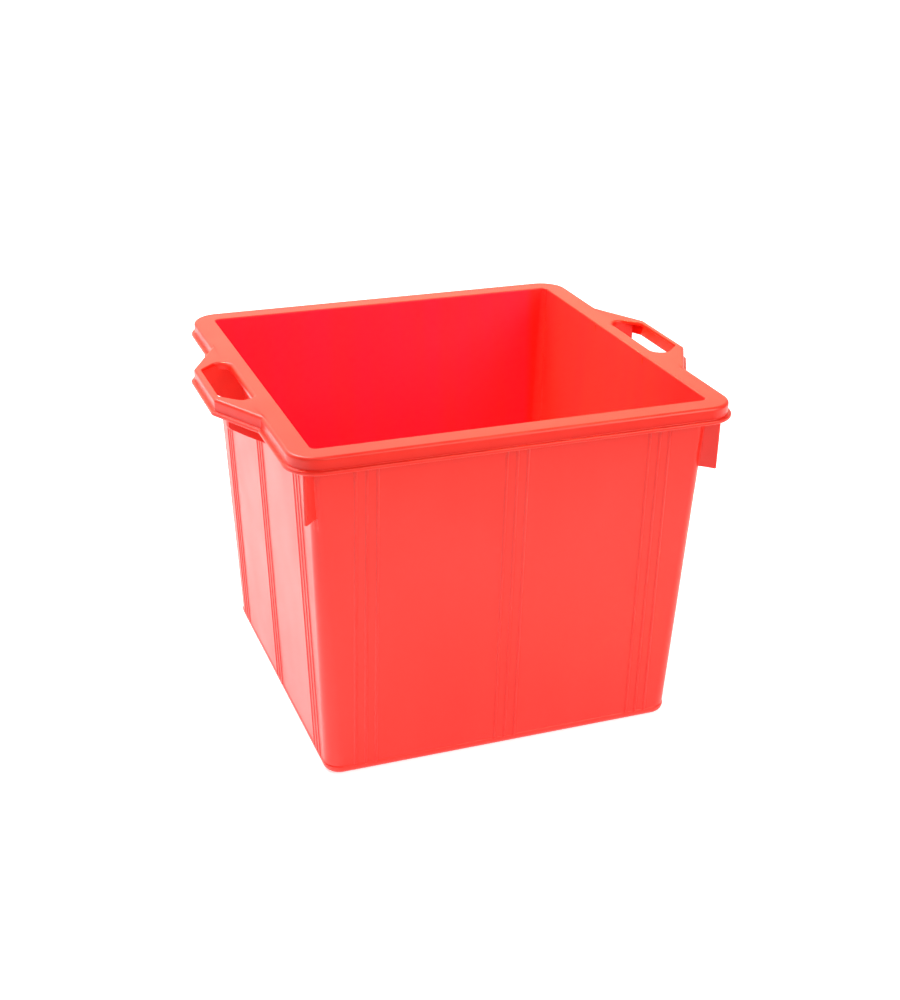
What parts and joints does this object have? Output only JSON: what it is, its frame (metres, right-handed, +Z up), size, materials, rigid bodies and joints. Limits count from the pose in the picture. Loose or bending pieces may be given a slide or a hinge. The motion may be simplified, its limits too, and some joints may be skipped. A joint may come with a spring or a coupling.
{
  "type": "square harvest basket",
  "caption": "Deep square harvest basket in moulded plastic with tapered ribbed walls, a solid floor, a hollow turned-down rim with a lip and an open hand grip on each side.",
  "frame": {"origin": "on the ground, under the middle of the basket", "axes": "+X towards the right-hand grip, +Y to the back, +Z up out of the mouth"},
  "size_m": [0.5156, 0.4526, 0.36],
  "materials": {
    "red_plastic": "smooth moulded polyethylene, soft gloss"
  },
  "bodies": {
    "root": {"base_corner_back_left": "red_plastic", "base_corner_back_right": "red_plastic", "base_corner_front_left": "red_plastic", "base_corner_front_right": "red_plastic", "base_edge_back": "red_plastic", "base_edge_front": "red_plastic", "base_edge_left": "red_plastic", "base_edge_right": "red_plastic", "corner_fin_back_left": "red_plastic", "corner_fin_back_right": "red_plastic", "corner_fin_front_left": "red_plastic", "corner_fin_front_right": "red_plastic", "floor_panel": "red_plastic", "handle_left_back_arm": "red_plastic", "handle_left_back_web": "red_plastic", "handle_left_front_arm": "red_plastic", "handle_left_front_web": "red_plastic", "handle_left_grip": "red_plastic", "handle_right_back_arm": "red_plastic", "handle_right_back_web": "red_plastic", "handle_right_front_arm": "red_plastic", "handle_right_front_web": "red_plastic", "handle_right_grip": "red_plastic", "ribs_back": "red_plastic", "ribs_front": "red_plastic", "ribs_left": "red_plastic", "ribs_right": "red_plastic", "rim_back": "red_plastic", "rim_corner_back_left": "red_plastic", "rim_corner_back_right": "red_plastic", "rim_corner_front_left": "red_plastic", "rim_corner_front_right": "red_plastic", "rim_front": "red_plastic", "rim_left_back": "red_plastic", "rim_left_front": "red_plastic", "rim_left_middle": "red_plastic", "rim_right_back": "red_plastic", "rim_right_front": "red_plastic", "rim_right_middle": "red_plastic", "wall_back": "red_plastic", "wall_corner_back_left": "red_plastic", "wall_corner_back_right": "red_plastic", "wall_corner_front_left": "red_plastic", "wall_corner_front_right": "red_plastic", "wall_front": "red_plastic", "wall_left": "red_plastic", "wall_right": "red_plastic"}
  },
  "joints": []
}
